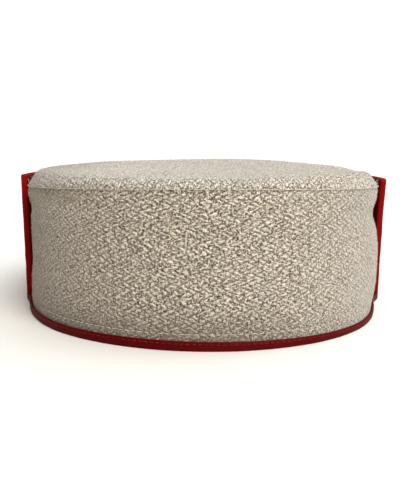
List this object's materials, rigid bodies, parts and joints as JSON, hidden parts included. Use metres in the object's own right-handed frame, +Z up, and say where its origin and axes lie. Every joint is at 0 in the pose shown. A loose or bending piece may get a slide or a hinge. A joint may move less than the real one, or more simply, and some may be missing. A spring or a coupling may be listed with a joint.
{
  "type": "himachali cap",
  "caption": "Flat-topped oval woollen hill cap with a herringbone wall, a red band standing round its front half and red tape binding its rim.",
  "frame": {"origin": "on the surface that the cap rests on, under the middle of its bounding box", "axes": "+Z up out of the crown, -Y towards the front band, which is the wearer's front, and +X towards the wearer's left"},
  "size_m": [0.1954, 0.2128, 0.0721],
  "materials": {
    "wool": "undyed heather wool tweed, herringbone weave",
    "red_cloth": "plain deep red woven cloth",
    "red_tape": "folded red binding tape with a faint sheen"
  },
  "bodies": {
    "root": {"crown_wall": "wool", "crown_top": "wool", "rim_tape": "red_tape", "front_band": "red_cloth", "band_tape": "red_tape"}
  },
  "joints": []
}
